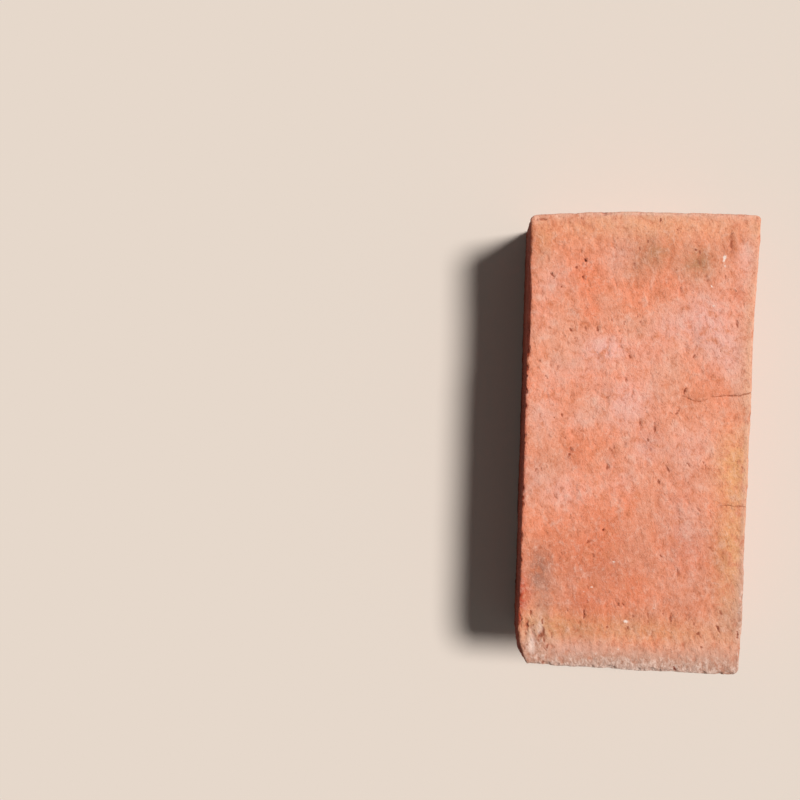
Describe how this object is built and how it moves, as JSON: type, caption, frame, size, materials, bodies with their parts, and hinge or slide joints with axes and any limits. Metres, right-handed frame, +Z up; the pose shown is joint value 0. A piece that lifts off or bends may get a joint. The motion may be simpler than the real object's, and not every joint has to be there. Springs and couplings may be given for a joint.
{
  "type": "clay brick",
  "caption": "Solid rectangular block of fired clay with worn edges, laid in mortar to build walls, piers and paving.",
  "frame": {"origin": "middle of the lower bed face, the one that lies on the floor", "axes": "+Y along the length towards the far end, +X across the width towards the right long side, +Z up through the thickness"},
  "size_m": [0.106, 0.22, 0.06],
  "materials": {
    "fired_clay": "matte"
  },
  "bodies": {
    "root": {"brick": "fired_clay"}
  },
  "joints": []
}
